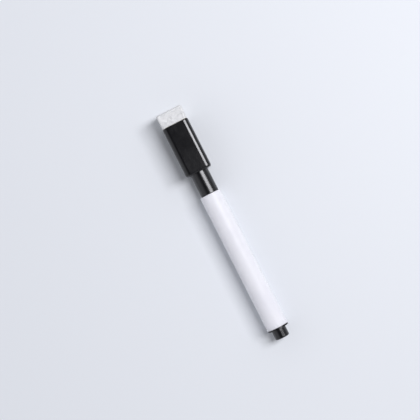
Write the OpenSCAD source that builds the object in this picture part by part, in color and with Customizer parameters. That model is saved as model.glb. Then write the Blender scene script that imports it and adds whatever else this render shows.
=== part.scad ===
// Slim whiteboard marker with a square magnetic cap and a felt eraser on the cap's end.
// It lies along X: the cap and nib point to +X, the tail to -X.
// Z = 0 is the flat of the cap that sticks to the board. X = 0 is the middle of the length.

/* [Barrel] */
// Outside diameter of the white barrel
barrel_d = 10; // [8:0.1:13]
// Length of the barrel
barrel_len = 67.5; // [50:0.1:100]
// Wall of the barrel
barrel_wall = 0.8; // [0.6:0.05:1.1]
// Rounding of the barrel's front edge
barrel_front_r = 0.3; // [0.1:0.05:0.4]
// Rounding of the barrel's tail edge
barrel_tail_r = 0.12; // [0.05:0.01:0.2]
// Height of the ribs that centre the ink core
barrel_rib_h = 0.35; // [0.2:0.05:0.6]
// Width of one rib
barrel_rib_w = 0.8; // [0.5:0.1:1.2]
// Number of ribs
barrel_ribs = 6; // [3:1:8]

/* [Cap] */
// Width and height of the square block of the cap
cap_w = 12.6; // [10:0.1:16]
// Wall of the block
cap_wall = 1.2; // [0.8:0.1:1.5]
// Rounding of the block's long corners
cap_corner_r = 2.4; // [1.6:0.1:3]
// Rounding of the block's edges at the collar
cap_rear_edge_r = 0.9; // [0.3:0.1:1.2]
// Rounding of the block's edges at the eraser
cap_front_edge_r = 0.5; // [0.3:0.1:1.2]
// Bore of the cap, which takes the neck of the nib holder
cap_bore_d = 6.8; // [5.2:0.05:7.8]
// Wall of the round collar around that bore
collar_wall = 0.85; // [0.6:0.05:1]
// Length of the collar behind the block
collar_len = 11; // [8:0.1:13]
// Rounding of the collar's rear edge
collar_edge_r = 0.2; // [0.1:0.05:0.3]
// Closed end of the bore
bore_end_wall = 0.9; // [0.6:0.1:1.5]
// Thickness of the webs between the bore's tube and the block's walls
cap_web = 0.9; // [0.6:0.1:1.2]

/* [Inner cap] */
// Wall of the inner cap
liner_wall = 0.55; // [0.4:0.05:0.7]
// Closed end of the inner cap
liner_end = 0.7; // [0.5:0.1:1]
// Length of the lead-in at the inner cap's mouth
liner_lead = 0.6; // [0.3:0.1:0.8]
// Wall left at the mouth's rim by that lead-in
liner_rim = 0.15; // [0.1:0.05:0.3]

/* [Magnet] */
// Diameter of the disc magnet
magnet_d = 7; // [5:0.5:8.5]
// Thickness of the disc magnet
magnet_t = 2; // [1:0.1:2.4]
// Rounding of the magnet's edges
magnet_edge_r = 0.15; // [0.05:0.05:0.3]
// Wall around the magnet's seat and above it
magnet_seat_wall = 0.9; // [0.6:0.1:1.2]

/* [Eraser] */
// Length of the felt that stands out of the cap
felt_len = 6.4; // [4:0.1:10]
// How far the felt's sides stand in from the block's sides
felt_inset = 0.25; // [0.2:0.05:0.8]
// Rounding of the felt's long corners
felt_corner_r = 0.6; // [0.3:0.1:2.5]
// Thickness of the double-sided tape behind the felt
tape_t = 0.15; // [0.1:0.05:0.3]
// How far the tape stands in from the felt's sides
tape_inset = 0.4; // [0.2:0.1:0.8]
// Depth of the tray that closes the block
tray_depth = 2.7; // [2.2:0.1:4]
// Thickness of the tray's plate
tray_plate = 1.2; // [0.8:0.1:1.6]
// Wall of the tray's skirt
tray_wall = 0.9; // [0.7:0.1:1.2]

/* [Nib and nib holder] */
// Diameter of the nib
nib_d = 3; // [2.2:0.1:3.8]
// How far the nib stands out of its holder
nib_out = 4.4; // [3:0.1:6]
// Radius of the nib's rounded point
nib_point_r = 0.85; // [0.6:0.05:1]
// Length of the bullet-shaped part of the nib
nib_bullet = 3.4; // [2.5:0.1:4]
// How far the nib reaches into the ink core
nib_in_core = 5; // [3:0.5:8]
// Length of the holder inside the barrel
seat_len = 9; // [6:0.5:12]
// Length of the neck that the cap slides on
neck_len = 10.3; // [8:0.1:12]
// Length of the step from the neck to the sealing land
step_len = 1.8; // [1.2:0.1:3]
// Length of the land that the inner cap seals on
land_len = 2.2; // [1.5:0.1:3]
// Length of the cone in front of the land
cone_len = 2.6; // [1.5:0.1:4]
// Wall of the holder
holder_wall = 0.85; // [0.6:0.05:1]
// Wall around the nib at the cone's tip
tip_wall = 0.45; // [0.35:0.05:0.6]
// Length of the bore that grips the nib
grip_len = 8; // [5:0.5:9]
// Place of the cap's click bead, from the barrel's mouth
bead_at = 6; // [4:0.5:7]
// Length of the click bead
bead_len = 0.6; // [0.4:0.1:1]
// Diameter of the air grooves beside the nib
air_groove_d = 0.7; // [0.4:0.1:0.8]

/* [Ink core] */
// Thickness of the film around the core
film_t = 0.08; // [0.05:0.01:0.15]
// Free space between the core and its two end stops
core_gap = 0.2; // [0.1:0.1:1]

/* [End plug] */
// Thickness of the black flange
flange_t = 0.75; // [0.4:0.05:1.2]
// Length of the stub that takes the cap while writing
stub_len = 4.6; // [3:0.1:8]
// Rounding of the stub's end
stub_edge_r = 0.6; // [0.3:0.1:0.9]
// Diameter of the gate mark in the stub's end
gate_d = 1.2; // [0.8:0.1:2]
// Depth of the gate mark
gate_depth = 0.2; // [0.1:0.05:0.4]
// Length of the plug inside the barrel
plug_len = 6.4; // [4:0.1:9]
// Wall of the plug
plug_wall = 0.85; // [0.6:0.05:1]
// Width of the air slots in the plug's inner rim
plug_slot_w = 1.2; // [0.8:0.1:1.6]
// Depth of those slots
plug_slot_len = 1.6; // [1:0.1:2.4]

/* [Fits] */
// Radial gap between the neck and the cap's bore
neck_gap = 0.07; // [0.05:0.01:0.1]
// Radial gap between the click bead and the cap's bore
bead_gap = 0.02; // [0.015:0.005:0.04]
// Radial gap between the inner cap and the bore or land that it meets
liner_gap = 0.025; // [0.015:0.005:0.05]
// Radial gap between the stub and a cap pushed on it
stub_gap = 0.025; // [0.015:0.005:0.05]
// Gap of pieces that are pushed or glued into each other for good
press_gap = 0.02; // [0.01:0.005:0.04]
// Gap around the tray in the block
tray_gap = 0.05; // [0.02:0.01:0.1]
// Gap between the collar's rear face and the barrel's mouth
shut_gap = 0.05; // [0.02:0.01:0.2]
// Free space in front of the nib in the shut cap
nib_gap = 0.8; // [0.5:0.1:2]

/* [Hidden] */
$fn = 96;
// Overlap that makes two solids of one piece run into each other
joint_lap = 0.01;
// How far a cut runs past the solid that it opens
cut_over = 1;
// Rounding of small edges inside the marker
fine_edge_r = 0.1;
// Rounding of the click bead's edges
bead_edge_r = 0.02;

// Radii of what fits together
barrel_r = barrel_d / 2;
barrel_bore_r = barrel_r - barrel_wall;
plug_r = barrel_bore_r - press_gap;
core_r = barrel_bore_r - barrel_rib_h - press_gap - film_t;
bore_r = cap_bore_d / 2;
collar_r = bore_r + collar_wall;
neck_r = bore_r - neck_gap;
bead_r = bore_r - bead_gap;
stub_r = bore_r - stub_gap;
liner_r = bore_r - liner_gap;
liner_bore_r = liner_r - liner_wall;
land_r = liner_bore_r - liner_gap;
nib_r = nib_d / 2;
nib_bore_r = nib_r + press_gap;
tip_r = nib_bore_r + tip_wall;
magnet_r = magnet_d / 2;

// Stations along the axis, from the barrel's mouth, forwards
step_at = neck_len + step_len;
cone_at = step_at + land_len;
tip_at = cone_at + cone_len;
point_at = tip_at + nib_out;
liner_in = point_at + nib_gap;
liner_out = liner_in + liner_end;
bore_end = liner_out + liner_gap;
block_at = shut_gap + collar_len;
seat_at = bore_end + bore_end_wall;
tray_at = seat_at + magnet_d + 2 * magnet_seat_wall;
block_end = tray_at + tray_depth;
block_len = block_end - block_at;
felt_at = block_end + tape_t;
head_end = felt_at + felt_len;

// Stations behind the barrel's mouth
core_front = -seat_len - core_gap;
core_rear = -barrel_len + plug_len + core_gap;
tail_end = -barrel_len - flange_t - stub_len;

// The frame's origin is under the middle of the whole length
mouth_x = -(head_end + tail_end) / 2;
axis_z = cap_w / 2;

// Puts what is drawn along Z from the mouth onto the marker's own axis
module on_axis(station = 0) {
    translate([mouth_x + station, 0, axis_z]) rotate([0, 90, 0]) children();
}

// Half outline of a round bar, with an outside rounding at each end
module bar_outline(r, length, low_r, high_r) {
    square([r - low_r, length / 2]);
    translate([0, length / 2]) square([r - high_r, length / 2]);
    translate([0, low_r]) square([r, length - low_r - high_r]);
    translate([r - low_r, low_r]) circle(low_r);
    translate([r - high_r, length - high_r]) circle(high_r);
}

// Flat square with round corners, centred
module round_square(w, r) {
    square([w, w - 2 * r], center = true);
    square([w - 2 * r, w], center = true);
    for (x = [-1, 1], y = [-1, 1]) translate([x, y] * (w / 2 - r)) circle(r);
}

// Side view of the block: a rectangle with its own rounding at each end
module block_outline(w, length, low_r, high_r) {
    for (side = [0, 1]) mirror([side, 0]) intersection() {
        square([w / 2, length]);
        bar_outline(w / 2, length, low_r, high_r);
    }
}

// Square block with round long corners and rounded end edges, along Z
module round_block(w, length, corner, low_r, high_r) {
    flat_w = w - 2 * corner;
    for (turn = [0, 90]) rotate(turn) rotate([90, 0, 0])
        linear_extrude(flat_w, center = true) block_outline(w, length, low_r, high_r);
    for (turn = [0:90:270]) rotate(turn) translate([flat_w / 2, flat_w / 2])
        rotate_extrude(angle = 90) intersection() {
            square([corner, length]);
            bar_outline(corner, length, low_r, high_r);
        }
}

module barrel() {
    rib_len = core_front - core_rear;
    color("white") on_axis(-barrel_len) {
        difference() {
            rotate_extrude() bar_outline(barrel_r, barrel_len, barrel_tail_r, barrel_front_r);
            translate([0, 0, -cut_over]) cylinder(barrel_len + 2 * cut_over, r = barrel_bore_r);
        }
        for (i = [0:barrel_ribs - 1]) rotate(i * 360 / barrel_ribs)
            translate([barrel_bore_r - barrel_rib_h, -barrel_rib_w / 2, plug_len + core_gap])
                cube([barrel_rib_h + barrel_wall / 2, barrel_rib_w, rib_len]);
    }
}

module end_plug() {
    hollow_r = min(plug_r, stub_r) - plug_wall;
    color("#1c1c1e") difference() {
        union() {
            on_axis(-barrel_len - flange_t) cylinder(flange_t, r = barrel_r);
            on_axis(tail_end) rotate_extrude()
                bar_outline(stub_r, stub_len + joint_lap, stub_edge_r, joint_lap);
            on_axis(-barrel_len - joint_lap) cylinder(plug_len + joint_lap, r = plug_r);
        }
        on_axis(tail_end + plug_wall) cylinder(stub_len + flange_t + plug_len, r = hollow_r);
        on_axis(-barrel_len + plug_len - plug_slot_len) for (turn = [0, 90]) rotate(turn)
            translate([-barrel_r, -plug_slot_w / 2, 0])
                cube([barrel_d, plug_slot_w, plug_slot_len + cut_over]);
        on_axis(tail_end - cut_over) cylinder(cut_over + gate_depth, d = gate_d);
    }
}

module ink_core() {
    color("#39393d") on_axis(core_rear) difference() {
        cylinder(core_front - core_rear, r = core_r);
        translate([0, 0, core_front - core_rear - nib_in_core - press_gap])
            cylinder(nib_in_core + cut_over, r = nib_bore_r);
    }
}

module core_film() {
    color("#c9d3dc") on_axis(core_rear) difference() {
        cylinder(core_front - core_rear, r = core_r + film_t);
        translate([0, 0, -cut_over]) cylinder(core_front - core_rear + 2 * cut_over, r = core_r);
    }
}

// Half outline of the nib holder: seat, neck, step, sealing land and cone
module holder_outline() {
    polygon([[0, -seat_len], [plug_r, -seat_len], [plug_r, 0], [neck_r, 0], [neck_r, neck_len],
        [land_r, step_at], [land_r, cone_at], [tip_r, tip_at], [0, tip_at]]);
}

module nib_holder() {
    air_at = tip_at - grip_len;
    color("#1c1c1e") difference() {
        union() {
            on_axis() rotate_extrude() holder_outline();
            on_axis(bead_at) rotate_extrude() bar_outline(bead_r, bead_len, bead_edge_r, bead_edge_r);
        }
        on_axis(-seat_len - cut_over) cylinder(seat_len + cut_over + air_at, r = neck_r - holder_wall);
        on_axis(air_at - cut_over) cylinder(grip_len + 2 * cut_over, r = nib_bore_r);
        on_axis(air_at - cut_over) for (turn = [0, 120, 240]) rotate(turn)
            translate([nib_bore_r, 0, 0]) cylinder(cut_over + grip_len - cone_len, d = air_groove_d);
    }
}

// Half outline of the nib: a shaft, then a straight flank that runs into a round point
module nib_outline(r, length, bullet, point_r) {
    centre = length - point_r;
    // Angle at which the flank from the shaft's edge touches the point's circle
    drop = bullet - point_r;
    touch = acos(point_r / norm([r, drop])) - atan2(drop, r);
    polygon([[0, 0], [r, 0], [r, length - bullet],
        [point_r * cos(touch), centre + point_r * sin(touch)], [0, centre]]);
    intersection() {
        translate([0, centre - point_r]) square(2 * point_r);
        translate([0, centre]) circle(point_r);
    }
}

module nib() {
    rear = core_front - nib_in_core;
    color("#2b2b2f") on_axis(rear) rotate_extrude()
        nib_outline(nib_r, point_at - rear, nib_bullet, nib_point_r);
}

module inner_cap() {
    color("#e8e8e4") difference() {
        on_axis(step_at) rotate_extrude()
            bar_outline(liner_r, liner_out - step_at, fine_edge_r, fine_edge_r);
        on_axis(step_at - cut_over) cylinder(cut_over + liner_in - step_at, r = liner_bore_r);
        on_axis(step_at - joint_lap) cylinder(liner_lead, r1 = liner_r - liner_rim, r2 = liner_bore_r);
    }
}

// Hollow of the block, in front of its rear wall
module block_hollow() {
    on_axis(block_at + cap_wall) linear_extrude(block_len)
        round_square(cap_w - 2 * cap_wall, cap_corner_r - cap_wall);
}

// What stands inside the hollow: the webs, the tray's stops and the magnet's seat
module block_inside() {
    hollow_w = cap_w - 2 * cap_wall;
    web_len = bore_end - block_at;
    on_axis(block_at) for (turn = [0, 90]) rotate(turn)
        translate([-cap_w / 2 + cap_wall / 2, -cap_web / 2, cap_wall / 2])
            cube([cap_w - cap_wall, cap_web, web_len]);
    for (side = [-1, 1]) translate([mouth_x + block_at + cap_wall / 2, side * hollow_w / 2 - cap_web / 2,
        axis_z - cap_web / 2]) cube([tray_at - block_at - cap_wall / 2, cap_web, cap_web]);
    translate([mouth_x + seat_at - cap_wall / 2, -hollow_w / 2 - cap_wall / 2, cap_wall / 2])
        cube([tray_at - seat_at + cap_wall / 2, hollow_w + cap_wall,
            magnet_t + magnet_seat_wall - cap_wall / 2]);
}

module cap_shell() {
    color("#232326") difference() {
        union() {
            difference() {
                on_axis(block_at)
                    round_block(cap_w, block_len, cap_corner_r, cap_rear_edge_r, cap_front_edge_r);
                block_hollow();
            }
            intersection() {
                block_inside();
                on_axis(block_at + cap_wall / 2) linear_extrude(block_len - cap_wall)
                    round_square(cap_w - cap_wall, cap_corner_r - cap_wall / 2);
            }
            on_axis(shut_gap) rotate_extrude()
                bar_outline(collar_r, seat_at - shut_gap, collar_edge_r, fine_edge_r);
        }
        on_axis(-cut_over) cylinder(cut_over + bore_end, r = bore_r);
        translate([mouth_x + seat_at + magnet_seat_wall + magnet_r, 0, -cut_over])
            cylinder(cut_over + magnet_t + press_gap, r = magnet_r + press_gap);
    }
}

module magnet() {
    color("silver") translate([mouth_x + seat_at + magnet_seat_wall + magnet_r, 0, 0])
        rotate_extrude() bar_outline(magnet_r, magnet_t, magnet_edge_r, magnet_edge_r);
}

module eraser_tray() {
    tray_w = cap_w - 2 * cap_wall - 2 * tray_gap;
    corner = cap_corner_r - cap_wall - tray_gap;
    color("#232326") on_axis(tray_at + tray_gap) difference() {
        linear_extrude(tray_depth - tray_gap) round_square(tray_w, corner);
        translate([0, 0, -cut_over]) linear_extrude(cut_over + tray_depth - tray_gap - tray_plate)
            square(tray_w - 2 * tray_wall, center = true);
    }
}

module eraser_tape() {
    color("#d9d4c4") on_axis(block_end) linear_extrude(tape_t)
        round_square(cap_w - 2 * felt_inset - 2 * tape_inset, felt_corner_r);
}

module eraser_felt() {
    color("#e9e9ea") on_axis(felt_at) linear_extrude(felt_len)
        round_square(cap_w - 2 * felt_inset, felt_corner_r);
}

barrel();
end_plug();
ink_core();
core_film();
nib_holder();
nib();
inner_cap();
cap_shell();
magnet();
eraser_tray();
eraser_tape();
eraser_felt();
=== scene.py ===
"""A slim whiteboard marker lying on a pale surface, seen from straight above.

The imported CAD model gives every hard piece. This script gives each one its finish, makes the felt
eraser as a pressed and slightly hairy block, and sets up the floor, the lights and the camera.
"""
import math

import bmesh
import bpy
from mathutils import Matrix, Vector, noise


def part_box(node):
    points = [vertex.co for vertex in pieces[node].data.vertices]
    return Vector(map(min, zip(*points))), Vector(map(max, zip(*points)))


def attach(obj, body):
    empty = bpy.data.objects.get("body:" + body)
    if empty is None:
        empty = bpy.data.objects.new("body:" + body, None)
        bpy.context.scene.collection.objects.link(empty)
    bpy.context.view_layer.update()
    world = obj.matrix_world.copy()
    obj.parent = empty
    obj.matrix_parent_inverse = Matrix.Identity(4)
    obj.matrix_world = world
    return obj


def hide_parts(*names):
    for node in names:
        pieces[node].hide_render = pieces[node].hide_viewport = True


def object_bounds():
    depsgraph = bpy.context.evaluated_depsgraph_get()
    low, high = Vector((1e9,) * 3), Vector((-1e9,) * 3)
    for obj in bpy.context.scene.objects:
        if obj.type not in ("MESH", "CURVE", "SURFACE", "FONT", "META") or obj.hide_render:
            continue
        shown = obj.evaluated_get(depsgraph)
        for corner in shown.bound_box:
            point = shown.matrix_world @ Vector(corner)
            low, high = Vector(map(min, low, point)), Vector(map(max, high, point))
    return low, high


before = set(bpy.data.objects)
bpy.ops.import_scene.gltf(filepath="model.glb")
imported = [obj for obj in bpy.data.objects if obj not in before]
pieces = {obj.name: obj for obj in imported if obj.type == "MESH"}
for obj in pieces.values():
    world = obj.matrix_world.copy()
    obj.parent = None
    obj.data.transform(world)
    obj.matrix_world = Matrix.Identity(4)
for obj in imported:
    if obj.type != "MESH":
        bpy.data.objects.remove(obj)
cad_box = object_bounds()

MM = 0.001


# ---------------------------------------------------------------- small helpers

def linear(hex_colour, alpha=1.0):
    """An sRGB hex colour as Blender's linear red, green, blue and alpha."""
    parts = [int(hex_colour[i:i + 2], 16) / 255 for i in (1, 3, 5)]
    turned = [p / 12.92 if p <= 0.04045 else ((p + 0.055) / 1.055) ** 2.4 for p in parts]
    return (*turned, alpha)


def per_size(size_mm):
    """Scale of a pattern whose features are this many millimetres across."""
    return 1 / (size_mm * MM)


def add(tree, kind, inputs=None, **settings):
    """Adds a node with its settings. An input is a value, or another node's output to link."""
    made = tree.nodes.new(kind)
    for name, value in settings.items():
        setattr(made, name, value)
    for key, value in (inputs or {}).items():
        if isinstance(value, bpy.types.NodeSocket):
            tree.links.new(value, made.inputs[key])
        else:
            made.inputs[key].default_value = value
    return made


def new_material(name):
    """An empty material and its node tree."""
    made = bpy.data.materials.new(name)
    made.use_nodes = True
    made.node_tree.nodes.clear()
    return made, made.node_tree


def place(tree, stretch=(1, 1, 1)):
    """Object coordinates, stretched so that a pattern can run along an axis."""
    where = add(tree, "ShaderNodeTexCoord").outputs["Object"]
    return add(tree, "ShaderNodeMapping", {"Vector": where, "Scale": stretch}).outputs["Vector"]


# Soft noise mostly lies between these values, so this is the part that a pattern spreads out
NOISE_BAND = {"From Min": 0.3, "From Max": 0.7}


def two_tones(tree, pattern, first, second, band=NOISE_BAND):
    """Two colours, mixed by a grey pattern whose values mostly lie in that band."""
    share = add(tree, "ShaderNodeMapRange", {**band, "Value": pattern}).outputs["Result"]
    mixed = add(tree, "ShaderNodeMix", {
        "Factor": share, "A": linear(first), "B": linear(second)}, data_type="RGBA")
    return mixed.outputs["Result"]


SCRATCH_DRAWN_OUT = (0.015, 1, 1)
SCRATCH_STARTS, SCRATCH_FULL = 0.66, 0.74


def scratches(tree, turns, width_mm):
    """Fine scratches, one set of thin straight lines for each turn, as a value that is mostly 0."""
    lines = None
    for turn in turns:
        where = add(tree, "ShaderNodeMapping", {
            "Vector": place(tree), "Rotation": turn, "Scale": SCRATCH_DRAWN_OUT})
        streaks = add(tree, "ShaderNodeTexNoise", {
            "Vector": where.outputs["Vector"], "Scale": per_size(width_mm), "Detail": 1.0})
        line = add(tree, "ShaderNodeMapRange", {
            "Value": streaks.outputs["Fac"], "From Min": SCRATCH_STARTS, "From Max": SCRATCH_FULL,
        }).outputs["Result"]
        if lines is not None:
            line = add(tree, "ShaderNodeMath", {0: lines, 1: line}, operation="MAXIMUM").outputs[0]
        lines = line
    return lines


def finish_surface(tree, **inputs):
    """Ends a material in one Principled surface. Names are the sockets' with _ for a space."""
    named = {key.replace("_", " "): value for key, value in inputs.items()}
    surface = add(tree, "ShaderNodeBsdfPrincipled", named)
    add(tree, "ShaderNodeOutputMaterial", {"Surface": surface.outputs["BSDF"]})


# ---------------------------------------------------------------- materials

def white_polypropylene():
    """Injection-moulded polypropylene: satin white, and light spreads a little inside it.

    Faint flow lines run along the tube. The mould's fine pebble is drawn about three times as
    coarse as it is, so that it shows.
    """
    made, tree = new_material("white_polypropylene_moulded")
    around = place(tree)
    flow = add(tree, "ShaderNodeTexNoise", {
        "Vector": place(tree, (0.04, 1, 1)), "Scale": per_size(0.5), "Detail": 3.0})
    pebble = add(tree, "ShaderNodeTexNoise", {"Vector": around, "Scale": per_size(0.18)})
    mottle = add(tree, "ShaderNodeTexNoise", {
        "Vector": around, "Scale": per_size(7.0), "Detail": 3.0}).outputs["Fac"]
    lined = add(tree, "ShaderNodeBump", {"Height": flow.outputs["Fac"], "Distance": 0.004 * MM})
    uneven = add(tree, "ShaderNodeBump", {
        "Height": pebble.outputs["Fac"], "Distance": 0.0015 * MM,
        "Normal": lined.outputs["Normal"]})
    rough = add(tree, "ShaderNodeMapRange", {
        **NOISE_BAND, "Value": mottle, "To Min": 0.26, "To Max": 0.34})
    finish_surface(
        tree, Base_Color=two_tones(tree, mottle, "#F0F0F5", "#EBEBF1"),
        Roughness=rough.outputs["Result"], IOR=1.49, Specular_IOR_Level=0.15,
        Normal=uneven.outputs["Normal"],
        Subsurface_Weight=0.5, Subsurface_Radius=(1.0, 1.0, 1.0), Subsurface_Scale=2.0 * MM)
    return made


# How far the wear goes along the cap from its collar's end, how much rougher it gets at most, and
# how much rougher a scratch is
WEAR_REACH = 0.75
WEAR_DULLING = 0.08
SCRATCH_DULLING = 0.08


def black_abs():
    """Injection-moulded ABS: deep black with a polished mould's gloss and a light haze.

    Fingers have dulled it towards the collar. The handling scratches are drawn about four times
    as wide as they are, so that they show.
    """
    made, tree = new_material("black_abs_polished_mould")
    around = place(tree)
    haze = add(tree, "ShaderNodeTexNoise", {
        "Vector": around, "Scale": per_size(5.0), "Detail": 4.0, "Roughness": 0.6,
    }).outputs["Fac"]
    peel = add(tree, "ShaderNodeTexNoise", {"Vector": around, "Scale": per_size(0.9)})
    grain = add(tree, "ShaderNodeTexNoise", {"Vector": around, "Scale": per_size(0.12)})
    fine = scratches(tree, ((0.3, 0.1, 0.15), (-0.2, 0.3, -0.5), (0.5, -0.2, 1.0)), 0.08)

    low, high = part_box("cap_shell")
    unworn = low.x + WEAR_REACH * (high.x - low.x)
    length = add(tree, "ShaderNodeSeparateXYZ", {0: around}).outputs["X"]
    worn = add(tree, "ShaderNodeMapRange", {
        "Value": length, "From Min": low.x, "From Max": unworn,
        "To Min": WEAR_DULLING, "To Max": 0.0})
    gloss = add(tree, "ShaderNodeMapRange", {
        **NOISE_BAND, "Value": haze, "To Min": 0.15, "To Max": 0.20})
    handled = add(tree, "ShaderNodeMath", {
        0: worn.outputs["Result"], 1: gloss.outputs["Result"]})
    rough = add(tree, "ShaderNodeMath", {0: fine, 1: SCRATCH_DULLING, 2: handled.outputs[0]},
                operation="MULTIPLY_ADD")

    rippled = add(tree, "ShaderNodeBump", {
        "Height": peel.outputs["Fac"], "Distance": 0.0025 * MM})
    grained = add(tree, "ShaderNodeBump", {
        "Height": grain.outputs["Fac"], "Distance": 0.0006 * MM,
        "Normal": rippled.outputs["Normal"]})
    scratched = add(tree, "ShaderNodeBump", {
        "Height": fine, "Distance": -0.0008 * MM, "Normal": grained.outputs["Normal"]})
    finish_surface(
        tree, Base_Color=two_tones(tree, haze, "#08080B", "#0B0B0E"),
        Roughness=rough.outputs[0], IOR=1.56, Normal=scratched.outputs["Normal"])
    return made


def black_polypropylene():
    """Injection-moulded polypropylene: black, a little softer in its gloss than the cap."""
    made, tree = new_material("black_polypropylene_moulded")
    around = place(tree)
    haze = add(tree, "ShaderNodeTexNoise", {
        "Vector": around, "Scale": per_size(3.0), "Detail": 3.0}).outputs["Fac"]
    grain = add(tree, "ShaderNodeTexNoise", {"Vector": around, "Scale": per_size(0.2)})
    rough = add(tree, "ShaderNodeMapRange", {
        **NOISE_BAND, "Value": haze, "To Min": 0.16, "To Max": 0.23})
    grained = add(tree, "ShaderNodeBump", {
        "Height": grain.outputs["Fac"], "Distance": 0.0015 * MM})
    finish_surface(
        tree, Base_Color=two_tones(tree, haze, "#0A0A0D", "#0F0F12"),
        Roughness=rough.outputs["Result"], IOR=1.56, Normal=grained.outputs["Normal"])
    return made


def natural_polyethylene():
    """Moulded polyethylene without pigment: waxy, milky and a little see-through."""
    made, tree = new_material("natural_polyethylene_waxy")
    wax = add(tree, "ShaderNodeTexNoise", {
        "Vector": place(tree), "Scale": per_size(1.5), "Detail": 3.0}).outputs["Fac"]
    rough = add(tree, "ShaderNodeMapRange", {
        **NOISE_BAND, "Value": wax, "To Min": 0.38, "To Max": 0.5})
    uneven = add(tree, "ShaderNodeBump", {"Height": wax, "Distance": 0.004 * MM})
    finish_surface(
        tree, Base_Color=two_tones(tree, wax, "#E9E9E3", "#DEDFDA"),
        Roughness=rough.outputs["Result"], IOR=1.51, Normal=uneven.outputs["Normal"],
        Subsurface_Weight=0.4, Subsurface_Radius=(1.0, 1.0, 0.9), Subsurface_Scale=1.0 * MM)
    return made


def nickel_plate():
    """Nickel plate on a pressed magnet: warm bright metal with fine random scratches."""
    made, tree = new_material("nickel_plate_tumbled")
    scratch = add(tree, "ShaderNodeTexNoise", {
        "Vector": place(tree, (0.08, 1, 1)), "Scale": per_size(0.12), "Detail": 3.0})
    cross = add(tree, "ShaderNodeTexNoise", {
        "Vector": place(tree, (1, 0.08, 1)), "Scale": per_size(0.12), "Detail": 3.0})
    cloudy = add(tree, "ShaderNodeTexNoise", {
        "Vector": place(tree), "Scale": per_size(2.0), "Detail": 3.0}).outputs["Fac"]
    scratched = add(tree, "ShaderNodeBump", {
        "Height": scratch.outputs["Fac"], "Distance": 0.0015 * MM})
    crossed = add(tree, "ShaderNodeBump", {
        "Height": cross.outputs["Fac"], "Distance": 0.0015 * MM,
        "Normal": scratched.outputs["Normal"]})
    rough = add(tree, "ShaderNodeMapRange", {
        **NOISE_BAND, "Value": cloudy, "To Min": 0.16, "To Max": 0.3})
    finish_surface(
        tree, Base_Color=two_tones(tree, cloudy, "#C9C4B8", "#BAB5AB"), Metallic=1.0,
        Roughness=rough.outputs["Result"], Normal=crossed.outputs["Normal"])
    return made


# The part of the matted fibres' values that the felt's two colours are spread over
MATTED_BAND = {"From Min": 0.45, "From Max": 0.7}


def pressed_felt():
    """Pressed polyester felt: neutral off-white and dull, with fibres matted in every direction.

    The matted fibres are drawn about three times as thick as they are, so that they show.
    """
    made, tree = new_material("pressed_felt_white")
    around = place(tree)
    matted = None
    for turn in ((0.0, 0.5, 0.4), (0.7, -0.4, 1.3), (-0.5, 0.9, 2.2), (1.1, 0.3, -0.7)):
        along = add(tree, "ShaderNodeMapping", {
            "Vector": around, "Rotation": turn, "Scale": (0.1, 1, 1)})
        fibres = add(tree, "ShaderNodeTexNoise", {
            "Vector": along.outputs["Vector"], "Scale": per_size(0.09)}).outputs["Fac"]
        if matted is not None:
            fibres = add(tree, "ShaderNodeMath", {0: matted, 1: fibres},
                         operation="MAXIMUM").outputs[0]
        matted = fibres
    lumps = add(tree, "ShaderNodeTexNoise", {
        "Vector": around, "Scale": per_size(0.9), "Detail": 4.0, "Roughness": 0.6,
    }).outputs["Fac"]
    shade = add(tree, "ShaderNodeMix", {"Factor": 0.15, "A": matted, "B": lumps},
                data_type="FLOAT").outputs["Result"]
    lumpy = add(tree, "ShaderNodeBump", {"Height": lumps, "Distance": 0.02 * MM})
    hairy = add(tree, "ShaderNodeBump", {
        "Height": matted, "Distance": 0.04 * MM, "Normal": lumpy.outputs["Normal"]})
    finish_surface(
        tree, Base_Color=two_tones(tree, shade, "#E0E1E1", "#F7F7F6", MATTED_BAND),
        Roughness=0.95, Specular_IOR_Level=0.2, Normal=hairy.outputs["Normal"],
        Sheen_Weight=0.25, Sheen_Roughness=0.5)
    return made


def felt_fibre():
    """Single polyester fibres: the felt's own off-white, a little clearer."""
    made, tree = new_material("polyester_fibre_white")
    tone = add(tree, "ShaderNodeTexNoise", {
        "Vector": place(tree), "Scale": per_size(0.7)}).outputs["Fac"]
    finish_surface(
        tree, Base_Color=two_tones(tree, tone, "#E6E6E7", "#F8F8F7"),
        Roughness=0.8, Specular_IOR_Level=0.3)
    return made


def inked_fibre():
    """Bonded nib fibre, stained by black dry-erase ink: matt with open pores along its length."""
    made, tree = new_material("bonded_fibre_inked")
    pores = add(tree, "ShaderNodeTexNoise", {
        "Vector": place(tree, (0.12, 1, 1)), "Scale": per_size(0.16), "Detail": 3.0})
    stain = add(tree, "ShaderNodeTexNoise", {
        "Vector": place(tree), "Scale": per_size(1.2), "Detail": 3.0}).outputs["Fac"]
    rough = add(tree, "ShaderNodeMapRange", {
        **NOISE_BAND, "Value": stain, "To Min": 0.55, "To Max": 0.8})
    porous = add(tree, "ShaderNodeBump", {"Height": pores.outputs["Fac"], "Distance": 0.03 * MM})
    finish_surface(
        tree, Base_Color=two_tones(tree, stain, "#121214", "#26262B"),
        Roughness=rough.outputs["Result"], Normal=porous.outputs["Normal"])
    return made


def core_fibre():
    """Bundled polyester fibre soaked with black ink."""
    made, tree = new_material("fibre_bundle_soaked")
    strands = add(tree, "ShaderNodeTexNoise", {
        "Vector": place(tree, (0.03, 1, 1)), "Scale": per_size(0.12), "Detail": 3.0,
    }).outputs["Fac"]
    uneven = add(tree, "ShaderNodeBump", {"Height": strands, "Distance": 0.05 * MM})
    finish_surface(
        tree, Base_Color=two_tones(tree, strands, "#17171A", "#35353B"),
        Roughness=0.7, Normal=uneven.outputs["Normal"])
    return made


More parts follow.
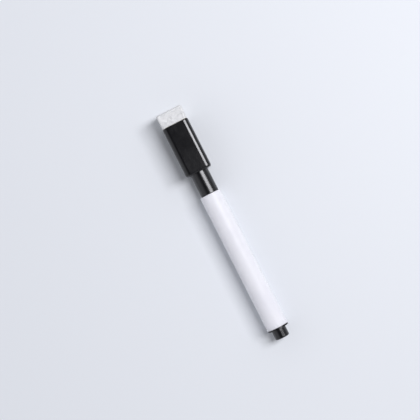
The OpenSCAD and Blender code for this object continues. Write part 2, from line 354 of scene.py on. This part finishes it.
def clear_film():
    """Thin polypropylene film wrapped round the core: hazy and slightly blue."""
    made, tree = new_material("polypropylene_film_hazy")
    creases = add(tree, "ShaderNodeTexNoise", {
        "Vector": place(tree, (0.3, 1, 1)), "Scale": per_size(1.5), "Detail": 4.0,
    }).outputs["Fac"]
    rough = add(tree, "ShaderNodeMapRange", {
        **NOISE_BAND, "Value": creases, "To Min": 0.15, "To Max": 0.3})
    creased = add(tree, "ShaderNodeBump", {"Height": creases, "Distance": 0.02 * MM})
    finish_surface(
        tree, Base_Color=two_tones(tree, creases, "#C3CCD6", "#D5DCE3"),
        Roughness=rough.outputs["Result"], Normal=creased.outputs["Normal"])
    return made


def foam_tape():
    """Double-sided tape: cream adhesive on a thin foam, seen only as a line at its edge."""
    made, tree = new_material("double_sided_tape_cream")
    cells = add(tree, "ShaderNodeTexNoise", {
        "Vector": place(tree), "Scale": per_size(0.15)}).outputs["Fac"]
    uneven = add(tree, "ShaderNodeBump", {"Height": cells, "Distance": 0.01 * MM})
    finish_surface(
        tree, Base_Color=two_tones(tree, cells, "#CFC9B8", "#DDD8C9"),
        Roughness=0.6, Normal=uneven.outputs["Normal"])
    return made


def pale_board():
    """Plain pale surface: cool white with a soft sheen."""
    made, tree = new_material("pale_floor")
    finish_surface(tree, Base_Color=linear("#E2E5E8"), Roughness=0.45, Specular_IOR_Level=0.3)
    return made


FINISHES = {
    "barrel": white_polypropylene(),
    "end_plug": black_polypropylene(),
    "nib_holder": black_polypropylene(),
    "cap_shell": black_abs(),
    "eraser_tray": black_polypropylene(),
    "inner_cap": natural_polyethylene(),
    "magnet": nickel_plate(),
    "eraser_tape": foam_tape(),
    "nib": inked_fibre(),
    "ink_core": core_fibre(),
    "core_film": clear_film(),
}
for name, finish in FINISHES.items():
    pieces[name].data.materials.clear()
    pieces[name].data.materials.append(finish)


# ---------------------------------------------------------------- felt eraser

FELT_CORNER = 0.45 * MM
FELT_FRONT_EDGE = 0.8 * MM
FELT_SHRINK = 0.1 * MM
FELT_CUTS = 39
LUMP_SIZE, LUMP_DEPTH = 2.6 * MM, 0.16 * MM
TUFT_SIZE, TUFT_DEPTH = 0.7 * MM, 0.045 * MM
TUFT_FALLOFF, TUFT_STEP, TUFT_LAYERS = 0.7, 2.0, 3
# The back stays flat on the tape, and the surface is fully uneven from this far in front of it
FLAT_BACK = 0.6 * MM
NO_LENGTH = 1e-9


def pull_in(side, front, radius):
    """Where a point in a square edge goes when that edge is rounded, by its two depths."""
    if side >= radius or front >= radius:
        return side, front
    gap = Vector((radius - side, radius - front))
    gap = gap.normalized() * radius
    return radius - gap.x, radius - gap.y


def round_felt(point, centre, half, front):
    """A point of a square bar, moved onto the bar with round corners and a soft front edge."""
    across = Vector((point.y - centre.y, point.z - centre.z))
    core = Vector([max(-(half - FELT_CORNER), min(half - FELT_CORNER, v)) for v in across])
    out = across - core
    if out.length > FELT_CORNER:
        out = out.normalized() * FELT_CORNER
    # How deep the point lies under the side, and which way the side faces
    if out.length > NO_LENGTH:
        facing, side = out.normalized(), FELT_CORNER - out.length
    else:
        reach = max(abs(core.x), abs(core.y))
        facing = Vector((math.copysign(1, core.x), 0) if abs(core.x) >= abs(core.y)
                        else (0, math.copysign(1, core.y)))
        side = half - reach
    new_side, new_front = pull_in(side, front - point.x, FELT_FRONT_EDGE)
    across = core + out - facing * (new_side - side)
    return Vector((front - new_front, centre.y + across.x, centre.z + across.y))


def felt_mesh():
    """The felt block: round corners, a soft front edge and an uneven pressed surface."""
    low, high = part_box("eraser_felt")
    centre = (low + high) / 2
    half = (high.y - low.y) / 2 - FELT_SHRINK
    front = high.x - FELT_SHRINK
    mesh = bmesh.new()
    bmesh.ops.create_cube(mesh, size=1)
    bmesh.ops.subdivide_edges(mesh, edges=mesh.edges[:], cuts=FELT_CUTS, use_grid_fill=True)
    for v in mesh.verts:
        v.co = Vector((low.x + (v.co.x + 0.5) * (front - low.x),
                       centre.y + v.co.y * 2 * half, centre.z + v.co.z * 2 * half))
        v.co = round_felt(v.co, centre, half, front)
    mesh.normal_update()
    moved = {}
    for v in mesh.verts:
        lump = noise.noise(v.co / LUMP_SIZE) * LUMP_DEPTH
        tuft = noise.fractal(v.co / TUFT_SIZE, TUFT_FALLOFF, TUFT_STEP, TUFT_LAYERS) * TUFT_DEPTH
        uneven = min(1, (v.co.x - low.x) / FLAT_BACK)
        moved[v] = v.co + v.normal * (lump + tuft) * uneven
    for v, co in moved.items():
        v.co = co
    made = bpy.data.meshes.new("felt_block")
    mesh.to_mesh(made)
    mesh.free()
    for face in made.polygons:
        face.use_smooth = True
    return made


FIBRE_INPUTS = {
    "Fibres per square mm": 9.0,
    "Fibre length": 1.3 * MM,
    "Fibre radius": 0.016 * MM,
    "Lift": 0.24 * MM,
    "Curl": 0.4 * MM,
    "Seed": 7,
}
SMALLEST_FIBRE, LARGEST_FIBRE = 0.45, 1.5
FIBRE_STEPS, FIBRE_SIDES = 5, 3
# No fibre grows where the block's surface faces back more than this, on the tape
FACES_TAPE = -0.7
SQUARE_MM_IN_M2 = 1e6


def fibre_tree(felt_finish, fibre_finish):
    """Geometry nodes: the felt block, and short curled fibres that lie on its outside."""
    tree = bpy.data.node_groups.new("felt_fibres", "GeometryNodeTree")
    ports = tree.interface
    ports.new_socket("Geometry", in_out="INPUT", socket_type="NodeSocketGeometry")
    for name, value in FIBRE_INPUTS.items():
        kind = "NodeSocketInt" if isinstance(value, int) else "NodeSocketFloat"
        ports.new_socket(name, in_out="INPUT", socket_type=kind)
    ports.new_socket("Geometry", in_out="OUTPUT", socket_type="NodeSocketGeometry")
    given = add(tree, "NodeGroupInput").outputs

    surface = add(tree, "GeometryNodeInputNormal").outputs[0]
    facing = add(tree, "ShaderNodeSeparateXYZ", {0: surface}).outputs["X"]
    outside = add(tree, "FunctionNodeCompare", {0: facing, 1: FACES_TAPE},
                  data_type="FLOAT", operation="GREATER_THAN").outputs["Result"]
    density = add(tree, "ShaderNodeMath", {
        0: given["Fibres per square mm"], 1: SQUARE_MM_IN_M2}, operation="MULTIPLY").outputs[0]
    roots = add(tree, "GeometryNodeDistributePointsOnFaces", {
        "Mesh": given["Geometry"], "Selection": outside, "Density": density, "Seed": given["Seed"],
    })

    behind = add(tree, "ShaderNodeMath", {0: given["Fibre length"], 1: -0.5},
                 operation="MULTIPLY")
    ahead = add(tree, "ShaderNodeMath", {0: given["Fibre length"], 1: 0.5}, operation="MULTIPLY")
    start = add(tree, "ShaderNodeCombineXYZ", {"X": behind.outputs[0]})
    middle = add(tree, "ShaderNodeCombineXYZ", {"Y": given["Curl"], "Z": given["Lift"]})
    end = add(tree, "ShaderNodeCombineXYZ", {"X": ahead.outputs[0]})
    arc = add(tree, "GeometryNodeCurveQuadraticBezier", {
        "Resolution": FIBRE_STEPS, "Start": start.outputs[0], "Middle": middle.outputs[0],
        "End": end.outputs[0],
    })
    ring = add(tree, "GeometryNodeCurvePrimitiveCircle", {
        "Resolution": FIBRE_SIDES, "Radius": given["Fibre radius"]})
    fibre = add(tree, "GeometryNodeCurveToMesh", {
        "Curve": arc.outputs["Curve"], "Profile Curve": ring.outputs["Curve"], "Fill Caps": True})

    # Sockets 2 and 3 are the lowest and highest plain number, and output 1 is the plain result
    turn = add(tree, "FunctionNodeRandomValue", {3: 2 * math.pi, "Seed": given["Seed"]},
               data_type="FLOAT").outputs[1]
    spin = add(tree, "ShaderNodeCombineXYZ", {"Z": turn})
    facing_turn = add(tree, "FunctionNodeRotateRotation", {
        "Rotation": roots.outputs["Rotation"],
        "Rotate By": add(tree, "FunctionNodeEulerToRotation", {0: spin.outputs[0]}).outputs[0],
    }, rotation_space="LOCAL")
    size = add(tree, "FunctionNodeRandomValue", {
        2: SMALLEST_FIBRE, 3: LARGEST_FIBRE, "Seed": given["Seed"]}, data_type="FLOAT").outputs[1]
    laid = add(tree, "GeometryNodeInstanceOnPoints", {
        "Points": roots.outputs["Points"], "Instance": fibre.outputs["Mesh"],
        "Rotation": facing_turn.outputs[0], "Scale": size,
    })
    fibres = add(tree, "GeometryNodeSetMaterial", {
        "Geometry": add(tree, "GeometryNodeRealizeInstances", {
            "Geometry": laid.outputs["Instances"]}).outputs["Geometry"],
        "Material": fibre_finish})
    block = add(tree, "GeometryNodeSetMaterial", {
        "Geometry": given["Geometry"], "Material": felt_finish})
    both = add(tree, "GeometryNodeJoinGeometry")
    tree.links.new(fibres.outputs[0], both.inputs[0])
    tree.links.new(block.outputs[0], both.inputs[0])
    add(tree, "NodeGroupOutput", {0: both.outputs[0]})
    return tree


def made_plain(piece, name):
    """The piece with its modifiers worked out, as a new plain mesh object."""
    bpy.context.view_layer.update()
    ready = piece.evaluated_get(bpy.context.evaluated_depsgraph_get())
    mesh = bpy.data.meshes.new_from_object(ready)
    bpy.data.objects.remove(piece)
    made = bpy.data.objects.new(name, mesh)
    bpy.context.scene.collection.objects.link(made)
    return made


def felt_eraser():
    """The whole felt piece, which stands for the CAD model's plain block."""
    rough = bpy.data.objects.new("felt_rough", felt_mesh())
    bpy.context.scene.collection.objects.link(rough)
    hairy = rough.modifiers.new("fibres", "NODES")
    hairy.node_group = fibre_tree(pressed_felt(), felt_fibre())
    for socket in hairy.node_group.interface.items_tree:
        if socket.name in FIBRE_INPUTS:
            hairy[socket.identifier] = FIBRE_INPUTS[socket.name]
    felt = made_plain(rough, "felt_pad")
    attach(felt, "cap")
    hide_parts("eraser_felt")


felt_eraser()


# ---------------------------------------------------------------- floor, light and camera

FLOOR_SIZE = 8.0
FLOOR_GAP = 0.02 * MM


def pale_floor():
    """A plain pale surface under the marker."""
    mesh = bmesh.new()
    bmesh.ops.create_grid(mesh, x_segments=1, y_segments=1, size=FLOOR_SIZE / 2)
    bmesh.ops.translate(mesh, verts=mesh.verts[:], vec=(0, 0, -FLOOR_GAP))
    made = bpy.data.meshes.new("floor")
    mesh.to_mesh(made)
    mesh.free()
    made.materials.append(pale_board())
    floor = bpy.data.objects.new("floor", made)
    bpy.context.scene.collection.objects.link(floor)


# The softbox stands on the marker's right, leaning towards the cap's end
KEY_TILT = math.radians(29.3)
KEY_SWING = math.radians(8)
KEY_DISTANCE = 1.4
KEY_WIDTH, KEY_LENGTH = 0.9, 0.42
KEY_POWER, KEY_COLOUR = 16.4, "#FAFAFF"
# The room's light from straight above, and from around on the side away from the softbox and on
# its own side
ROOM_TOP, ROOM_FAR, ROOM_NEAR = 0.08, 0.83, 0.42
# The way from the far side to the near side, how far each way the light changes along it, and how
# high up the dark top starts and is full
ROOM_ACROSS = (0.2, -0.95, 0.0)
ROOM_CHANGE = 0.7
TOP_STARTS, TOP_FULL = 0.58, 0.92
ROOM_COLOUR = "#F7F8FF"


def key_direction():
    """Unit vector from the marker towards the softbox."""
    flat = math.sin(KEY_TILT)
    return Vector((flat * math.sin(KEY_SWING), -flat * math.cos(KEY_SWING), math.cos(KEY_TILT)))


def softbox():
    """One soft rectangular light."""
    lamp = bpy.data.lights.new("softbox", "AREA")
    lamp.shape = "RECTANGLE"
    lamp.size, lamp.size_y = KEY_LENGTH, KEY_WIDTH
    lamp.energy = KEY_POWER
    lamp.color = linear(KEY_COLOUR)[:3]
    stand = bpy.data.objects.new("softbox", lamp)
    towards = key_direction()
    stand.location = towards * KEY_DISTANCE
    across = towards.cross(Vector((1, 0, 0))).normalized()
    along = across.cross(towards).normalized()
    stand.rotation_euler = Matrix((along, across, towards)).transposed().to_euler()
    bpy.context.scene.collection.objects.link(stand)


def room():
    """A pale room, dark straight above and brightest on the side away from the softbox."""
    world = bpy.data.worlds.new("room")
    bpy.context.scene.world = world
    world.use_nodes = True
    tree = world.node_tree
    tree.nodes.clear()
    where = add(tree, "ShaderNodeTexCoord").outputs["Generated"]
    side = add(tree, "ShaderNodeVectorMath", {0: where, 1: ROOM_ACROSS},
               operation="DOT_PRODUCT").outputs["Value"]
    around = add(tree, "ShaderNodeMapRange", {
        "Value": side, "From Min": -ROOM_CHANGE, "From Max": ROOM_CHANGE,
        "To Min": ROOM_FAR, "To Max": ROOM_NEAR}).outputs["Result"]
    up = add(tree, "ShaderNodeSeparateXYZ", {0: where}).outputs["Z"]
    top = add(tree, "ShaderNodeMapRange", {
        "Value": up, "From Min": TOP_STARTS, "From Max": TOP_FULL}).outputs["Result"]
    strength = add(tree, "ShaderNodeMix", {"Factor": top, "A": around, "B": ROOM_TOP},
                   data_type="FLOAT").outputs["Result"]
    back = add(tree, "ShaderNodeBackground", {"Color": linear(ROOM_COLOUR), "Strength": strength})
    add(tree, "ShaderNodeOutputWorld", {"Surface": back.outputs["Background"]})


CAMERA_HEIGHT = 0.65
CAMERA_LENS = 121.85
CAMERA_TURN = math.radians(-116.86)
CAMERA_ASIDE = Vector((9.0, 3.38)) * MM
CAMERA_SEES = (0.01, 20)


def camera_above():
    """A long lens that looks straight down, turned so that the cap points up and left."""
    low, high = cad_box
    middle = (low + high) / 2
    lens = bpy.data.cameras.new("camera")
    lens.lens = CAMERA_LENS
    lens.clip_start, lens.clip_end = CAMERA_SEES
    camera = bpy.data.objects.new("camera", lens)
    camera.location = (middle.x + CAMERA_ASIDE.x, middle.y + CAMERA_ASIDE.y, CAMERA_HEIGHT)
    camera.rotation_euler = (0, 0, CAMERA_TURN)
    bpy.context.scene.collection.objects.link(camera)
    bpy.context.scene.camera = camera


pale_floor()
softbox()
room()
camera_above()
bpy.context.scene.view_settings.view_transform = "Standard"
bpy.context.scene.view_settings.look = "None"
